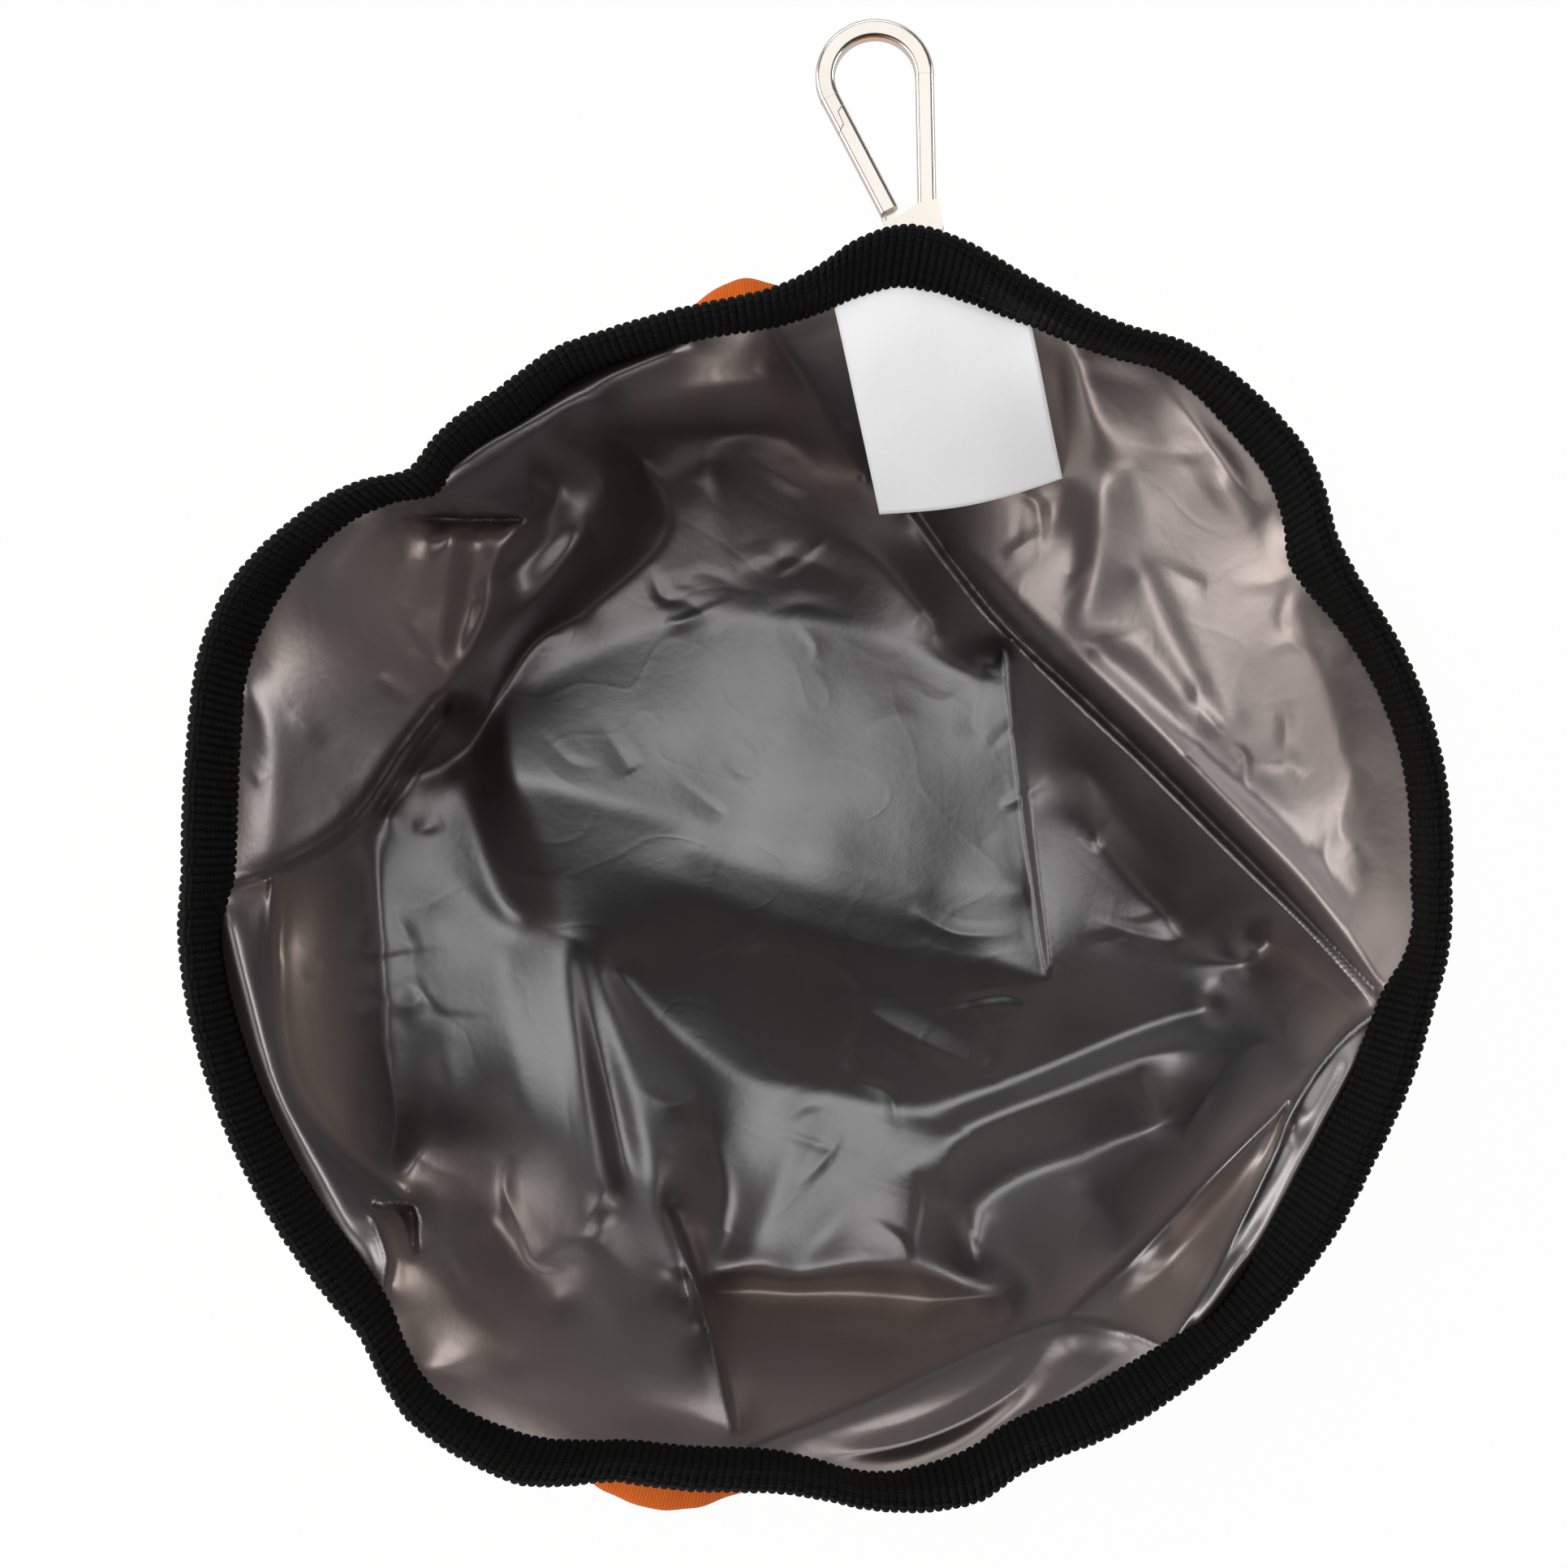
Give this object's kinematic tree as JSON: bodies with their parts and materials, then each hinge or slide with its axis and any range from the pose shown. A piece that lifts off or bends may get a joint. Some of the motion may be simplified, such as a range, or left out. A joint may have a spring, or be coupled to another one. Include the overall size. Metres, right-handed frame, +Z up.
{
  "type": "collapsible pet bowl",
  "caption": "Soft round cloth bowl with a loose waterproof lining, a wavy taped mouth, a blank care label and a swivelling snap hook, folding flat for travel.",
  "frame": {"origin": "middle of the bottom panel's lower face, on the surface the bowl stands on", "axes": "+Z up out of the mouth, +Y across the bowl to the side with the clip and the care label, +X to the right when the clip is at the top of a view from above"},
  "size_m": [0.2396, 0.29, 0.0911],
  "materials": {
    "cloth": "woven polyester, matte",
    "film": "satin silver-grey film",
    "tape": "ribbed black tape",
    "satin": "white satin, blank",
    "webbing": "black webbing",
    "plated_metal": "nickel plated, polished",
    "steel": "bright steel"
  },
  "bodies": {
    "base": {"outer_base": "cloth", "outer_wall": "cloth", "lining_base": "film", "lining_wall": "film"},
    "rim": {"rim_binding": "tape", "care_label": "satin", "hook_tab": "webbing"},
    "swivel_eye": {"swivel_eye": "plated_metal"},
    "hook": {"hook_body": "plated_metal", "gate_pin": "steel", "gate_spring": "steel"},
    "gate": {"hook_gate": "plated_metal"}
  },
  "joints": [
    {"name": "rim_press", "type": "slide", "parent": "base", "child": "rim", "axis": [0, 0, -1], "range_m": [0, 0.052], "deforming": ["outer_wall", "lining_wall", "care_label"]},
    {"name": "eye_swing", "type": "hinge", "parent": "rim", "child": "swivel_eye", "pos_m": [0.02141, 0.11222, 0.07278], "axis": [0.9715, 0.2368, 0], "range_deg": [-70, 30]},
    {"name": "hook_swivel", "type": "hinge", "parent": "swivel_eye", "child": "hook", "pos_m": [0.02141, 0.11222, 0.07278], "axis": [-0.2342, 0.9609, -0.1478], "continuous": true},
    {"name": "gate_open", "type": "hinge", "parent": "hook", "child": "gate", "pos_m": [0.01493, 0.12317, 0.07096], "axis": [0.035, -0.1436, -0.989], "range_deg": [0, 18], "stiffness_Nm_per_rad": 0.014, "springref_deg": -68.75, "deforming": ["gate_spring"]}
  ]
}
